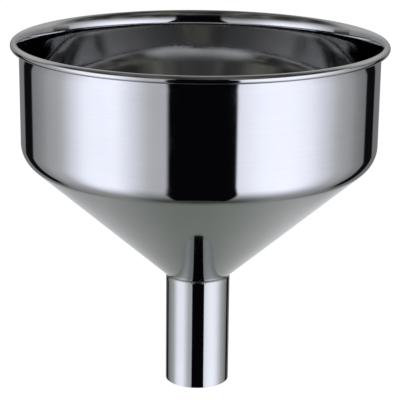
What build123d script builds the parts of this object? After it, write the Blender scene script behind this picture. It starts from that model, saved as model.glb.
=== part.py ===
from build123d import *
import math
import os

# Canning funnel, polished stainless steel.
# Frame: millimetres, +Z up along the funnel's axis, origin at the centre of the
# spout's lower end. Every piece is a body of revolution about +Z.

# ---------------------------------------------------------------- dimensions
RIM_R = 150.0            # outermost radius, on the rolled rim
HEIGHT = 287.6           # spout's lower end to the top of the rolled rim
SHEET = 0.8              # sheet thickness of hopper and spout

WALL_R = 143.2           # outside radius of the upright wall
SHOULDER_Z = 196.3       # sharp corner of wall and cone, on the outside
SHOULDER_FILLET = 21.4   # outside radius of the rounded shoulder

SPOUT_R = 26.35          # outside radius of the spout
SPOUT_LEN = 92.7         # spout's lower end to the cone, on the outside
SPOUT_EDGE = 0.15        # broken edge on the spout's two rims

CURL_R = 2.5             # outside radius of the rolled rim, over and under
CURL_SIDE_R = 3.4        # outside radius of the rolled rim's outer side
CURL_SIDE = 50.0         # degrees, above and below level, that the side spans
CURL_END = 212.0         # degrees, where the rolled edge stops behind the wall
LIP_TILT_1 = 35.0        # degrees from upright, where the lip runs into the curl
LIP_TILT_2 = 16.0        # degrees from upright, between the lip's two bends
LIP_R1 = 9.4             # radius of the lip's upper bend, inside surface
LIP_R2 = 36.3            # radius of the lip's lower bend, inside surface

WELD_LEG = 2.0           # reach of the weld along spout and along cone
WELD_BEVEL = 0.5         # bevel on the spout's top edge, filled by the weld

os.makedirs("parts", exist_ok=True)

# ------------------------------------------------------------------- helpers
def polar(c, r, deg):
    a = math.radians(deg)
    return (c[0] + r * math.cos(a), c[1] + r * math.sin(a))


def line(p, q):
    return Edge.make_line(Vector(p[0], 0, p[1]), Vector(q[0], 0, q[1]))


def arc(c, r, a0, a1):
    """Arc in the radius/height plane, from angle a0 to a1 about centre c."""
    p, m, q = (polar(c, r, a) for a in (a0, (a0 + a1) / 2, a1))
    return Edge.make_three_point_arc(
        Vector(p[0], 0, p[1]), Vector(m[0], 0, m[1]), Vector(q[0], 0, q[1]))


def spin(edges):
    """Turns a closed profile once about the axis."""
    wire = Wire(edges)
    return revolve(Face(wire), Axis.Z, 360)


# -------------------------------------------------------- hopper, one sheet
# The sheet is followed from the rolled edge, over the rim, down the inside of
# the lip and the wall, round the shoulder and along the cone. "face" is the
# side that shows at the rim and inside the hopper, "back" the side that shows
# on the outside of the wall and cone.
side_in = CURL_SIDE_R - CURL_R
side_dx = side_in * math.cos(math.radians(CURL_SIDE))
side_dz = side_in * math.sin(math.radians(CURL_SIDE))
curl_mid = (RIM_R - CURL_SIDE_R, HEIGHT - CURL_R - side_dz)
curl_top = (curl_mid[0] + side_dx, curl_mid[1] + side_dz)
curl_low = (curl_mid[0] + side_dx, curl_mid[1] - side_dz)

a1 = 180.0 - LIP_TILT_1
a2 = 180.0 - LIP_TILT_2
p1 = polar(curl_top, CURL_R, a1)                     # curl runs into the lip
lip1 = polar(p1, LIP_R1, a1 - 180.0)                 # centre of upper bend
p2 = polar(lip1, LIP_R1, a2)
lip2 = polar(p2, LIP_R2, a2 - 180.0)                 # centre of lower bend
wall_in = lip2[0] - LIP_R2                           # inside radius of wall
wall_out = wall_in + SHEET
wall_top = lip2[1]                                   # lip begins here

cone_rise = SHOULDER_Z - SPOUT_LEN
cone_run = WALL_R - SPOUT_R
cone = math.degrees(math.atan2(cone_rise, cone_run))  # above horizontal
turn = 90.0 - cone                                    # wall to cone
tangent = SHOULDER_FILLET * math.tan(math.radians(turn / 2))
sh_c = (wall_out - SHOULDER_FILLET, SHOULDER_Z + tangent)   # shoulder centre
sh_in = SHOULDER_FILLET - SHEET
sh_a = -turn                                          # end of shoulder arc

# The cone's underside runs from the shoulder to the spout's outside radius.
under_hi = polar(sh_c, SHOULDER_FILLET, sh_a)
slope = math.tan(math.radians(cone))
under_lo = (SPOUT_R, under_hi[1] - (under_hi[0] - SPOUT_R) * slope)
seat_z = under_lo[1]                                  # spout's top end
bore_r = SPOUT_R - SHEET
upper_hi = polar(sh_c, sh_in, sh_a)
upper_lo = (bore_r, upper_hi[1] - (upper_hi[0] - bore_r) * slope)

e_out = polar(curl_low, CURL_R, CURL_END - 360.0)
e_in = polar(curl_low, CURL_R - SHEET, CURL_END - 360.0)
hopper_edges = [
    # face: up the outside of the curl, over the rim and down the inside
    arc(curl_low, CURL_R, CURL_END - 360.0, -CURL_SIDE),
    arc(curl_mid, CURL_SIDE_R, -CURL_SIDE, CURL_SIDE),
    arc(curl_top, CURL_R, CURL_SIDE, a1),
    arc(lip1, LIP_R1, a1, a2),
    arc(lip2, LIP_R2, a2, 180.0),
    line((wall_in, wall_top), (wall_in, sh_c[1])),
    arc(sh_c, sh_in, 0.0, sh_a),
    line(upper_hi, upper_lo),
    # lower end: flush with the spout's bore, then the seat for the spout
    line(upper_lo, (bore_r, seat_z)),
    line((bore_r, seat_z), under_lo),
    # back: up the cone's underside, the wall and into the curl
    line(under_lo, under_hi),
    arc(sh_c, SHOULDER_FILLET, sh_a, 0.0),
    line((wall_out, sh_c[1]), (wall_out, wall_top)),
    arc(lip2, LIP_R2 - SHEET, 180.0, a2),
    arc(lip1, LIP_R1 - SHEET, a2, a1),
    arc(curl_top, CURL_R - SHEET, a1, CURL_SIDE),
    arc(curl_mid, CURL_SIDE_R - SHEET, CURL_SIDE, -CURL_SIDE),
    arc(curl_low, CURL_R - SHEET, -CURL_SIDE, CURL_END - 360.0),
    line(e_in, e_out),
]
hopper_shell = spin(hopper_edges)

# ----------------------------------------------------------------- spout tube
# A straight tube cut square at both ends, its lower edges broken and its top
# edge bevelled on the outside for the weld.
c = SPOUT_EDGE
weld_z = seat_z - WELD_LEG                            # the weld's lower toe
root_r = SPOUT_R - WELD_BEVEL
spout_edges = [
    line((bore_r + c, 0), (SPOUT_R - c, 0)),
    line((SPOUT_R - c, 0), (SPOUT_R, c)),
    line((SPOUT_R, c), (SPOUT_R, weld_z)),
    line((SPOUT_R, weld_z), (root_r, seat_z)),
    line((root_r, seat_z), (bore_r, seat_z)),
    line((bore_r, seat_z), (bore_r, c)),
    line((bore_r, c), (bore_r + c, 0)),
]
spout_tube = spin(spout_edges)

# ------------------------------------------------------------------ weld ring
# The weld fills the bevel and the outside corner of spout and cone, and is
# dressed flat between its two toes.
toe_hi = polar((SPOUT_R, seat_z), WELD_LEG, cone)
weld_edges = [
    line((SPOUT_R, weld_z), toe_hi),
    line(toe_hi, (SPOUT_R, seat_z)),
    line((SPOUT_R, seat_z), (root_r, seat_z)),
    line((root_r, seat_z), (SPOUT_R, weld_z)),
]
spout_weld = spin(weld_edges)

# --------------------------------------------------------------------- export
for name, solid in (("hopper_shell", hopper_shell),
                    ("spout_tube", spout_tube),
                    ("spout_weld", spout_weld)):
    solid.label = name
    export_step(solid, f"parts/{name}.step")

print("wall inside radius %.3f, outside radius %.3f" % (wall_in, wall_out))
print("lip begins %.2f below the rim" % (HEIGHT - wall_top))
print("cone %.2f deg above horizontal, seat at %.3f" % (cone, seat_z))
print("shoulder: wall ends %.2f, cone begins r %.2f z %.2f"
      % (sh_c[1], under_hi[0], under_hi[1]))
print("bore radius %.2f, weld toe at %.3f" % (bore_r, weld_z))
print("cone's upper face meets the bore at %.3f" % upper_lo[1])
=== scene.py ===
import math

import bpy
import bmesh
from mathutils import Matrix, Vector, noise


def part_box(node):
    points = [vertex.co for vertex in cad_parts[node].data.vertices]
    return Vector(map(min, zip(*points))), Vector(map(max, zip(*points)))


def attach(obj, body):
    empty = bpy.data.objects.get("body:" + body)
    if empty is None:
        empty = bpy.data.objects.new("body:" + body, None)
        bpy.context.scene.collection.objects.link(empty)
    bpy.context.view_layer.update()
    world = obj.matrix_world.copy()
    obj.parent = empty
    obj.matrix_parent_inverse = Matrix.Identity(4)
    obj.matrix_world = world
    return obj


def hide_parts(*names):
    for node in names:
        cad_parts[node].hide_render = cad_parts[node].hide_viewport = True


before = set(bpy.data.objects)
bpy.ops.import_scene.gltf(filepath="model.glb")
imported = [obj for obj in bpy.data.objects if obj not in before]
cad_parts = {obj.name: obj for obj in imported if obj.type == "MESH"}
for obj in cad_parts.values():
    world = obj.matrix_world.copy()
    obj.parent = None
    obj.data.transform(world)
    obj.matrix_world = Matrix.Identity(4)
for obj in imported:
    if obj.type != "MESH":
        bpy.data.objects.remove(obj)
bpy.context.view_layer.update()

# ------------------------------------------------------------------ sizes, m
# Read from the frame where it says them; the rest are the sheet's own sizes.
h_lo, h_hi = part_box("hopper_shell")
s_lo, s_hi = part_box("spout_tube")
RIM_R = round(h_hi[0], 4)
TOP = round(h_hi[2], 4)
SPOUT_R = round(s_hi[0], 5)
SHEET = 0.0008
BORE_R = SPOUT_R - SHEET
WALL_R = 0.1432
SHOULDER_Z = 0.1963
FILLET = 0.0214
SEAT_Z = round(s_hi[2], 6)
CURL_R = 0.0025
CURL_SIDE_R = 0.0034
CURL_SIDE = 50.0
CURL_END = 212.0
LIP_R1, LIP_R2 = 0.0094, 0.0363
TILT1, TILT2 = 35.0, 16.0
WELD_LEG = 0.0020

SEG = 312


def polar(c, r, deg):
    a = math.radians(deg)
    return (c[0] + r * math.cos(a), c[1] + r * math.sin(a))


def run(p, q, step, tag=""):
    """Points from p to q, without q, about step apart."""
    n = max(1, int(round(math.dist(p, q) / step)))
    return [(p[0] + (q[0] - p[0]) * i / n, p[1] + (q[1] - p[1]) * i / n) for i in range(n)]


def bend(c, r, a0, a1, deg):
    """Points along an arc, without its end."""
    n = max(2, int(math.ceil(abs(a1 - a0) / deg)))
    return [polar(c, r, a0 + (a1 - a0) * i / n) for i in range(n)]


def lathe(name, profile, seg=SEG, closed=True, shift=None):
    """Turns a profile of (radius, height) about the axis as clean quads."""
    verts, faces = [], []
    m = len(profile)
    for k in range(seg):
        t = 2 * math.pi * k / seg
        ct, st = math.cos(t), math.sin(t)
        for j, (r, z) in enumerate(profile):
            if shift:
                dr, dz = shift(j, t, r, z)
                verts.append(((r + dr) * ct, (r + dr) * st, z + dz))
            else:
                verts.append((r * ct, r * st, z))
    span = m if closed else m - 1
    for k in range(seg):
        a, b = k * m, ((k + 1) % seg) * m
        for j in range(span):
            i = (j + 1) % m
            faces.append((a + j, b + j, b + i, a + i))
    me = bpy.data.meshes.new(name)
    me.from_pydata(verts, [], faces)
    me.update()
    bm = bmesh.new()
    bm.from_mesh(me)
    bmesh.ops.recalc_face_normals(bm, faces=bm.faces)
    bm.to_mesh(me)
    bm.free()
    me.shade_smooth()
    me.set_sharp_from_angle(angle=math.radians(38))
    ob = bpy.data.objects.new(name, me)
    bpy.context.scene.collection.objects.link(ob)
    return ob


# ------------------------------------------------------------ hopper profile
side_in = CURL_SIDE_R - CURL_R
side_dx = side_in * math.cos(math.radians(CURL_SIDE))
side_dz = side_in * math.sin(math.radians(CURL_SIDE))
mid_c = (RIM_R - CURL_SIDE_R, TOP - CURL_R - side_dz)
top_c = (mid_c[0] + side_dx, mid_c[1] + side_dz)
low_c = (mid_c[0] + side_dx, mid_c[1] - side_dz)
a1, a2 = 180.0 - TILT1, 180.0 - TILT2
p1 = polar(top_c, CURL_R, a1)
lip1 = polar(p1, LIP_R1, a1 - 180.0)
p2 = polar(lip1, LIP_R1, a2)
lip2 = polar(p2, LIP_R2, a2 - 180.0)
wall_in = lip2[0] - LIP_R2
wall_out = wall_in + SHEET
wall_top = lip2[1]
cone = math.degrees(math.atan2(SHOULDER_Z - 0.0927, WALL_R - SPOUT_R))
turn = 90.0 - cone
tangent = FILLET * math.tan(math.radians(turn / 2))
sh_c = (wall_out - FILLET, SHOULDER_Z + tangent)
slope = math.tan(math.radians(cone))
under_hi = polar(sh_c, FILLET, -turn)
under_lo = (SPOUT_R, under_hi[1] - (under_hi[0] - SPOUT_R) * slope)
upper_hi = polar(sh_c, FILLET - SHEET, -turn)
upper_lo = (BORE_R, upper_hi[1] - (upper_hi[0] - BORE_R) * slope)
e_out = polar(low_c, CURL_R, CURL_END - 360)
e_in = polar(low_c, CURL_R - SHEET, CURL_END - 360)

prof = []
prof += bend(low_c, CURL_R, CURL_END - 360, -CURL_SIDE, 7)
prof += bend(mid_c, CURL_SIDE_R, -CURL_SIDE, CURL_SIDE, 5)
prof += bend(top_c, CURL_R, CURL_SIDE, a1, 6)
prof += bend(lip1, LIP_R1, a1, a2, 2.4)
prof += bend(lip2, LIP_R2, a2, 180, 1.2)
prof += run((wall_in, wall_top), (wall_in, sh_c[1]), 0.003)
prof += bend(sh_c, FILLET - SHEET, 0, -turn, 2.0)
prof += run(upper_hi, upper_lo, 0.0035)
inner_count = len(prof)
prof += run(upper_lo, (BORE_R, SEAT_Z), 0.0006)
prof += run((BORE_R, SEAT_Z), under_lo, 0.0004)
prof += run(under_lo, under_hi, 0.0035)
prof += bend(sh_c, FILLET, -turn, 0, 2.0)
prof += run((wall_out, sh_c[1]), (wall_out, wall_top), 0.003)
prof += bend(lip2, LIP_R2 - SHEET, 180, a2, 1.6)
prof += bend(lip1, LIP_R1 - SHEET, a2, a1, 3.2)
prof += bend(top_c, CURL_R - SHEET, a1, CURL_SIDE, 9)
prof += bend(mid_c, CURL_SIDE_R - SHEET, CURL_SIDE, -CURL_SIDE, 8)
prof += bend(low_c, CURL_R - SHEET, -CURL_SIDE, CURL_END - 360, 10)
prof += run(e_in, e_out, 0.0004)


def wave(theta, s, seed, around, along):
    """Smooth, closed unevenness of spun sheet, about -1 to 1."""
    v = Vector((math.cos(theta) * around, math.sin(theta) * around, s * along + seed))
    return noise.noise(v, noise_basis="PERLIN_ORIGINAL")


def sheet_shift(j, t, r, z):
    """The sheet is a few hundredths of a millimetre uneven where it was spun."""
    if r < 0.030 or z > wall_top - 0.001:
        return 0.0, 0.0
    fade = min(1.0, (wall_top - 0.001 - z) / 0.012) * min(1.0, (r - 0.030) / 0.012)
    if j < inner_count:
        w = 0.000045 * wave(t, z, 3.1, 2.4, 34.0) + 0.000014 * wave(t, z, 9.7, 5.0, 60.0)
    else:
        w = 0.000012 * wave(t, z, 3.1, 1.6, 14.0)
    w *= fade
    if z < sh_c[1] and r < under_hi[0]:
        a = math.radians(90.0 - cone)
        return -w * math.sin(a), w * math.cos(a)
    return w, 0.0


hopper = lathe("hopper", prof, shift=sheet_shift)

# --------------------------------------------------------------------- spout
c = 0.00015
weld_z = SEAT_Z - WELD_LEG
root_r = SPOUT_R - 0.0005
sp = []
sp += run((BORE_R + c, 0), (SPOUT_R - c, 0), 0.0003)
sp += bend((SPOUT_R - c, c), c, -90, 0, 15)
sp += run((SPOUT_R, c), (SPOUT_R, weld_z), 0.004)
sp += run((SPOUT_R, weld_z), (root_r, SEAT_Z), 0.001)
sp += run((root_r, SEAT_Z), (BORE_R, SEAT_Z), 0.0003)
sp += run((BORE_R, SEAT_Z), (BORE_R, c), 0.004)
sp += bend((BORE_R + c, c), c, 180, 270, 15)
spout = lathe("spout", sp, seg=256)

# ---------------------------------------------------------------- weld ring
inside = 90.0 + cone
weld_r = WELD_LEG * math.tan(math.radians(inside / 2))
toe_hi = polar((SPOUT_R, SEAT_Z), WELD_LEG, cone)
weld_c = (SPOUT_R + weld_r, weld_z)
wp = []
wp += bend(weld_c, weld_r, 180, 90 + cone, 3.0)
wp += run(toe_hi, (SPOUT_R, SEAT_Z), 0.0006)
wp += run((SPOUT_R, SEAT_Z), (root_r, SEAT_Z), 0.0004)
wp += run((root_r, SEAT_Z), (SPOUT_R, weld_z), 0.0008)
n_face = len(bend(weld_c, weld_r, 180, 90 + cone, 3.0))


def weld_shift(j, t, r, z):
    """Low, close ripples left by the torch, dressed almost flat."""
    if not 0 < j < n_face - 1:
        return 0.0, 0.0
    k = math.sin(math.pi * j / (n_face - 1))
    w = 0.000035 * k * math.sin(96 * t + 2.2 * k + 1.5 * wave(t, 0, 4.0, 5.0, 1.0))
    w += 0.00005 * k * wave(t, z, 1.0, 4.0, 60.0)
    return w * 0.75, -w * 0.66


weld = lathe("weld", wp, seg=768, shift=weld_shift)

# ----------------------------------------------------------------- materials
def nodes_of(name):
    m = bpy.data.materials.new(name)
    m.use_nodes = True
    nt = m.node_tree
    nt.nodes.clear()
    out = nt.nodes.new("ShaderNodeOutputMaterial")
    bsdf = nt.nodes.new("ShaderNodeBsdfPrincipled")
    nt.links.new(bsdf.outputs[0], out.inputs[0])
    return m, nt, bsdf


def math_node(nt, op, a, b=None, c=None, clamp=False):
    n = nt.nodes.new("ShaderNodeMath")
    n.operation = op
    n.use_clamp = clamp
    for i, v in enumerate((a, b, c)):
        if v is None:
            continue
        if isinstance(v, (int, float)):
            n.inputs[i].default_value = v
        else:
            nt.links.new(v, n.inputs[i])
    return n.outputs[0]


def tex_noise(nt, vec, scale, detail=3.0, rough=0.5, dim="3D"):
    n = nt.nodes.new("ShaderNodeTexNoise")
    n.noise_dimensions = dim
    n.inputs["Scale"].default_value = scale
    n.inputs["Detail"].default_value = detail
    n.inputs["Roughness"].default_value = rough
    nt.links.new(vec, n.inputs["Vector"])
    return n.outputs["Fac"]


def ramp(nt, fac, stops, interp="LINEAR"):
    n = nt.nodes.new("ShaderNodeValToRGB")
    cr = n.color_ramp
    cr.interpolation = interp
    while len(cr.elements) > 1:
        cr.elements.remove(cr.elements[-1])
    for i, (p, col) in enumerate(stops):
        e = cr.elements[0] if i == 0 else cr.elements.new(p)
        e.position = p
        e.color = (*col, 1.0) if len(col) == 3 else col
    nt.links.new(fac, n.inputs[0])
    return n.outputs[0]


def steel(name, tone, rough, smudge, line, aniso=0.0):
    """Polished stainless steel: faint polishing lines around the axis, slight
    smudges, and a little unevenness of tone."""
    m, nt, b = nodes_of(name)
    b.inputs["Metallic"].default_value = 1.0
    if aniso:
        b.inputs["Anisotropic"].default_value = aniso
    tc = nt.nodes.new("ShaderNodeTexCoord")
    sep = nt.nodes.new("ShaderNodeSeparateXYZ")
    nt.links.new(tc.outputs["Object"], sep.inputs[0])
    x, y, z = sep.outputs
    rad = math_node(nt, "SQRT", math_node(nt, "ADD", math_node(nt, "MULTIPLY", x, x), math_node(nt, "MULTIPLY", y, y)))
    # a place along the sheet, so that lines run round the axis on every face
    along = math_node(nt, "ADD", math_node(nt, "MULTIPLY", z, 1.0), math_node(nt, "MULTIPLY", rad, 0.8))
    comb = nt.nodes.new("ShaderNodeCombineXYZ")
    nt.links.new(math_node(nt, "MULTIPLY", x, 4.0), comb.inputs[0])
    nt.links.new(math_node(nt, "MULTIPLY", y, 4.0), comb.inputs[1])
    nt.links.new(math_node(nt, "MULTIPLY", along, 900.0), comb.inputs[2])
    lines = tex_noise(nt, comb.outputs[0], 1.0, 4.0, 0.65)
    patches = tex_noise(nt, tc.outputs["Object"], 14.0, 3.0, 0.55)
    blot = tex_noise(nt, tc.outputs["Object"], 48.0, 4.0, 0.6)
    lo = tuple(v * 0.94 for v in tone)
    hi = tuple(min(1.0, v * 1.04) for v in tone)
    col = ramp(nt, math_node(nt, "ADD", math_node(nt, "MULTIPLY", patches, 0.7), math_node(nt, "MULTIPLY", lines, 0.3)),
               [(0.30, lo), (0.70, hi)])
    nt.links.new(col, b.inputs["Base Color"])
    r = math_node(nt, "ADD", rough, math_node(nt, "MULTIPLY", math_node(nt, "SUBTRACT", blot, 0.45, clamp=True), smudge))
    r = math_node(nt, "ADD", r, math_node(nt, "MULTIPLY", math_node(nt, "SUBTRACT", lines, 0.5), line))
    nt.links.new(r, b.inputs["Roughness"])
    bump = nt.nodes.new("ShaderNodeBump")
    bump.inputs["Strength"].default_value = 0.03
    bump.inputs["Distance"].default_value = 0.00001
    nt.links.new(lines, bump.inputs["Height"])
    nt.links.new(bump.outputs[0], b.inputs["Normal"])
    return m


sheet_mat = steel("polished_sheet", (0.68, 0.685, 0.70), 0.045, 0.10, 0.018)
tube_mat = steel("polished_tube", (0.60, 0.615, 0.61), 0.045, 0.08, 0.018)
weld_mat = steel("weld_steel", (0.62, 0.61, 0.60), 0.14, 0.25, 0.08)
for ob, mat, node, slot in ((hopper, sheet_mat, "hopper_shell", "polished_sheet"),
                            (spout, tube_mat, "spout_tube", "polished_tube"),
                            (weld, weld_mat, "spout_weld", "weld_steel")):
    ob.data.materials.append(mat)
    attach(ob, "root")
    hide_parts(node)

# -------------------------------------------------------------------- studio
# A plain soft studio, all of it far away, so that it is the same from every
# side of the funnel. Directions are in degrees: az to the right of the camera's
# side, el above level. Two tall soft panels stand left and right with an unlit
# gap between them, a narrow dark flag ends each, and the far side is grey.
PANEL_LEFT = [(-180, 0.20), (-128, 0.25), (-112, 0.40), (-94, 0.62), (-78, 1.15), (-62, 1.28), (-50, 1.20), (-34, 0.70), (-20, 0.56)]
PANEL_RIGHT = [(20, 1.00), (38, 1.29), (62, 1.32), (78, 1.04), (94, 0.62), (112, 0.38), (128, 0.22), (180, 0.20)]
COOL, NEUTRAL = (0.98, 1.00, 1.11), (0.99, 1.00, 1.03)
BRIGHT = 1.5


def mix(nt, fac, a, b):
    n = nt.nodes.new("ShaderNodeMix")
    n.data_type = "RGBA"
    for sock, v in ((n.inputs[0], fac), (n.inputs[6], a), (n.inputs[7], b)):
        if isinstance(v, (int, float)):
            sock.default_value = v
        elif isinstance(v, tuple):
            sock.default_value = (*v, 1.0)
        else:
            nt.links.new(v, sock)
    return n.outputs[2]


def smooth(nt, v, lo, hi):
    n = nt.nodes.new("ShaderNodeMapRange")
    n.interpolation_type = "SMOOTHSTEP"
    nt.links.new(v, n.inputs[0])
    n.inputs[1].default_value = lo
    n.inputs[2].default_value = hi
    n.inputs[3].default_value = 0.0
    n.inputs[4].default_value = 1.0
    return n.outputs[0]


def over(nt, v, lo, hi):
    """1 below lo, 0 above hi."""
    return math_node(nt, "SUBTRACT", 1.0, smooth(nt, v, lo, hi))


def both(nt, *vals):
    out = vals[0]
    for v in vals[1:]:
        out = math_node(nt, "MULTIPLY", out, v)
    return out


def by_angle(nt, ang, lo, hi, stops, interp="LINEAR"):
    """A colour read off a list of (degrees, colour), colour a brightness or r, g, b."""
    f = math_node(nt, "DIVIDE", math_node(nt, "SUBTRACT", ang, lo), hi - lo)
    out = ramp(nt, f, [((d - lo) / (hi - lo), tuple(v / BRIGHT for v in (c if len(c) == 3 else c * 3))) for d, *c in stops], interp)
    mul = nt.nodes.new("ShaderNodeVectorMath")
    mul.operation = "SCALE"
    nt.links.new(out, mul.inputs[0])
    mul.inputs["Scale"].default_value = BRIGHT
    return mul.outputs[0]


world = bpy.data.worlds.new("studio")
bpy.context.scene.world = world
world.use_nodes = True
wt = world.node_tree
wt.nodes.clear()
w_out = wt.nodes.new("ShaderNodeOutputWorld")
w_bg = wt.nodes.new("ShaderNodeBackground")
wt.links.new(w_bg.outputs[0], w_out.inputs[0])
tc = wt.nodes.new("ShaderNodeTexCoord")
sep = wt.nodes.new("ShaderNodeSeparateXYZ")
wt.links.new(tc.outputs["Generated"], sep.inputs[0])
dx, dy, dz = sep.outputs
az = math_node(wt, "MULTIPLY", math_node(wt, "ARCTAN2", dx, math_node(wt, "MULTIPLY", dy, -1.0)), 180 / math.pi)
el = math_node(wt, "MULTIPLY", math_node(wt, "ARCSINE", dz), 180 / math.pi)
away = math_node(wt, "ABSOLUTE", az)
right_side = math_node(wt, "GREATER_THAN", az, 0.0)

# below level the panels and the gap widen, as strips that run under the funnel
level = math_node(wt, "COSINE", math_node(wt, "MULTIPLY", el, math.pi / 180))
below = math_node(wt, "MINIMUM", math_node(wt, "MULTIPLY", math_node(wt, "POWER", level, 0.7), 1.03), 1.0)
above = math_node(wt, "ADD", 1.0, math_node(wt, "MULTIPLY", smooth(wt, el, 0, 12), 0.37))
spread = math_node(wt, "MULTIPLY", math_node(wt, "MAXIMUM", below, math_node(wt, "GREATER_THAN", el, 0.0)), above)
az_in = math_node(wt, "MULTIPLY", az, spread)
narrow = math_node(wt, "MINIMUM", spread, 1.0)
side_on = math_node(wt, "MULTIPLY", smooth(wt, away, 45, 80), 0.75)
narrow = math_node(wt, "ADD", narrow, math_node(wt, "MULTIPLY", math_node(wt, "SUBTRACT", 1.0, narrow), side_on))
az_panel = math_node(wt, "MULTIPLY", az, narrow)

# the panels, full down to el -34 and gone by -72, over a greenish-grey table; the table darkens towards straight down,
# painted shade of the funnel on it
bright = mix(wt, right_side, by_angle(wt, az_panel, -180, 0, PANEL_LEFT, "CARDINAL"), by_angle(wt, az_panel, 0, 180, PANEL_RIGHT, "CARDINAL"))
tint = mix(wt, smooth(wt, bright, 0.40, 1.00), NEUTRAL, COOL)
tinted = wt.nodes.new("ShaderNodeVectorMath")
tinted.operation = "MULTIPLY"
wt.links.new(bright, tinted.inputs[0])
wt.links.new(tint, tinted.inputs[1])
panels = tinted.outputs[0]
table_with_painted_shade = by_angle(wt, el, -90, 0, [
    (-90, 0.04, 0.04, 0.04), (-77, 0.09, 0.10, 0.09), (-71, 0.19, 0.20, 0.20), (-64, 0.26, 0.28, 0.27), (-40, 0.29, 0.30, 0.30)])
look = mix(wt, smooth(wt, el, -72, -34), table_with_painted_shade, panels)

# the far side, below level: the floor beyond, lighter with distance; its darkening towards straight down is painted
# shade of the funnel on the floor
far = by_angle(wt, el, -90, 0, [
    (-90, 0.04, 0.04, 0.04), (-80, 0.14, 0.15, 0.14), (-64, 0.23, 0.25, 0.23), (-48, 0.40, 0.41, 0.40),
    (-32, 0.59, 0.60, 0.61), (-18, 0.72, 0.73, 0.75)])
left_dim = math_node(wt, "ADD", 0.90, math_node(wt, "MULTIPLY", smooth(wt, dx, -0.25, 0.25), 0.12))
dim = wt.nodes.new("ShaderNodeVectorMath")
dim.operation = "SCALE"
wt.links.new(far, dim.inputs[0])
wt.links.new(left_dim, dim.inputs["Scale"])
far = dim.outputs[0]
behind = math_node(wt, "SUBTRACT", away, math_node(wt, "MULTIPLY", math_node(wt, "ADD", el, 21.0), 0.565))
look = mix(wt, both(wt, smooth(wt, behind, 164, 171), over(wt, el, -18.5, -15.5)), look, far)

# the ceiling: dim, with soft olive and grey patches, and darkest overhead
patch = tex_noise(wt, tc.outputs["Generated"], 3.4, 2.0, 0.5)
ceiling = ramp(wt, patch, [(0.30, (0.02, 0.02, 0.02)), (0.45, (0.06, 0.06, 0.06)), (0.57, (0.12, 0.12, 0.10)),
                           (0.64, (0.18, 0.18, 0.15)), (0.74, (0.09, 0.09, 0.08))])
look = mix(wt, smooth(wt, el, 5, 20), look, ceiling)

# a pale backdrop high on the far side, which only the rolled rim looks towards
beyond = by_angle(wt, el, -10, 90, [(-10, 0.24), (5, 0.30), (20, 0.52), (34, 0.52), (54, 0.30), (70, 0.13), (90, 0.05)])
look = mix(wt, both(wt, smooth(wt, away, 92, 122), smooth(wt, el, -5, -1)), look, beyond)

# a flag at each panel's far end
side_away = math_node(wt, "ADD", away, math_node(wt, "SUBTRACT", math_node(wt, "MULTIPLY", right_side, 2.0), 1.0))
side_away = math_node(wt, "ADD", side_away, math_node(wt, "MULTIPLY", smooth(wt, el, -7, 3), 32.0))
flag = both(wt, smooth(wt, side_away, 128.6, 131.4), over(wt, side_away, 144.5, 147.5), smooth(wt, el, -45, -37), over(wt, el, 1, 12))
look = mix(wt, flag, look, (0.005, 0.005, 0.006))

# the unlit gap on the camera's side, its lower corners rounded
az_gap = math_node(wt, "MULTIPLY", az_in, math_node(wt, "ADD", 1.0, math_node(wt, "MULTIPLY", over(wt, el, -82, -50), 0.20)))
gap = both(wt, smooth(wt, az_gap, -21.0, -17.8), over(wt, az_gap, 22.2, 24.4), smooth(wt, el, -84, -77), over(wt, el, 18, 30))
look = mix(wt, gap, look, (0.002, 0.002, 0.003))
wt.links.new(look, w_bg.inputs[0])
w_bg.inputs[1].default_value = 1.0


def flat(name, size, z):
    me = bpy.data.meshes.new(name)
    n = 96
    verts = [(0.0, 0.0, z)] + [(size * math.cos(2 * math.pi * i / n), size * math.sin(2 * math.pi * i / n), z) for i in range(n)]
    me.from_pydata(verts, [], [(0, i + 1, (i + 1) % n + 1) for i in range(n)])
    me.update()
    ob = bpy.data.objects.new(name, me)
    bpy.context.scene.collection.objects.link(ob)
    return ob


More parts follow.
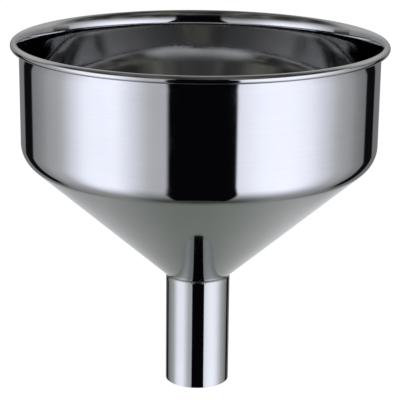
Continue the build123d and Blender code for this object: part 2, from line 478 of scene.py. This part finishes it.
# The plain pale floor that the camera sees, and the plain backdrop round it.
floor = flat("floor", 9.0, -0.0002)
for flag in ("visible_glossy", "visible_transmission", "visible_shadow"):
    setattr(floor, flag, False)
m = bpy.data.materials.new("floor")
m.use_nodes = True
nt = m.node_tree
nt.nodes.clear()
o = nt.nodes.new("ShaderNodeOutputMaterial")
df = nt.nodes.new("ShaderNodeBsdfDiffuse")
df.inputs[0].default_value = (0.30, 0.30, 0.30, 1)
em = nt.nodes.new("ShaderNodeEmission")
em.inputs[0].default_value = (1, 1, 1, 1)
em.inputs[1].default_value = 0.955
ad = nt.nodes.new("ShaderNodeAddShader")
nt.links.new(df.outputs[0], ad.inputs[0])
nt.links.new(em.outputs[0], ad.inputs[1])
tr = nt.nodes.new("ShaderNodeBsdfTransparent")
geo = nt.nodes.new("ShaderNodeNewGeometry")
mx = nt.nodes.new("ShaderNodeMixShader")
nt.links.new(geo.outputs["Backfacing"], mx.inputs[0])
nt.links.new(ad.outputs[0], mx.inputs[1])
nt.links.new(tr.outputs[0], mx.inputs[2])
nt.links.new(mx.outputs[0], o.inputs[0])
floor.data.materials.append(m)

dome_me = bpy.data.meshes.new("backdrop")
bm = bmesh.new()
bmesh.ops.create_icosphere(bm, subdivisions=4, radius=9.0)
bm.to_mesh(dome_me)
bm.free()
dome = bpy.data.objects.new("backdrop", dome_me)
bpy.context.scene.collection.objects.link(dome)
for flag in ("visible_glossy", "visible_transmission", "visible_shadow", "visible_diffuse"):
    setattr(dome, flag, False)
m = bpy.data.materials.new("backdrop")
m.use_nodes = True
nt = m.node_tree
nt.nodes.clear()
o = nt.nodes.new("ShaderNodeOutputMaterial")
em = nt.nodes.new("ShaderNodeEmission")
em.inputs[0].default_value = (1, 1, 1, 1)
em.inputs[1].default_value = 1.0
nt.links.new(em.outputs[0], o.inputs[0])
dome.data.materials.append(m)

bpy.context.scene.view_settings.view_transform = "Standard"
bpy.context.scene.view_settings.look = "None"

# -------------------------------------------------------------------- camera
cam_data = bpy.data.cameras.new("camera")
cam_data.sensor_width = 36.0
cam_data.lens = 36.0 * 1490.0 / 400.0
cam_data.clip_start = 0.01
cam_data.clip_end = 100.0
cam = bpy.data.objects.new("camera", cam_data)
bpy.context.scene.collection.objects.link(cam)
pitch, roll = 0.2827, 0.0108
fwd = Vector((0, math.cos(pitch), -math.sin(pitch)))
right = Vector((1, 0, 0))
upv = right.cross(fwd)
r2 = right * math.cos(roll) + upv * math.sin(roll)
u2 = upv * math.cos(roll) - right * math.sin(roll)
rot = Matrix((r2, u2, -fwd)).transposed().to_4x4()
cam.matrix_world = Matrix.Translation(Vector((0.0074 * RIM_R, -7.7971 * RIM_R, TOP + 1.3791 * RIM_R))) @ rot
bpy.context.scene.camera = cam
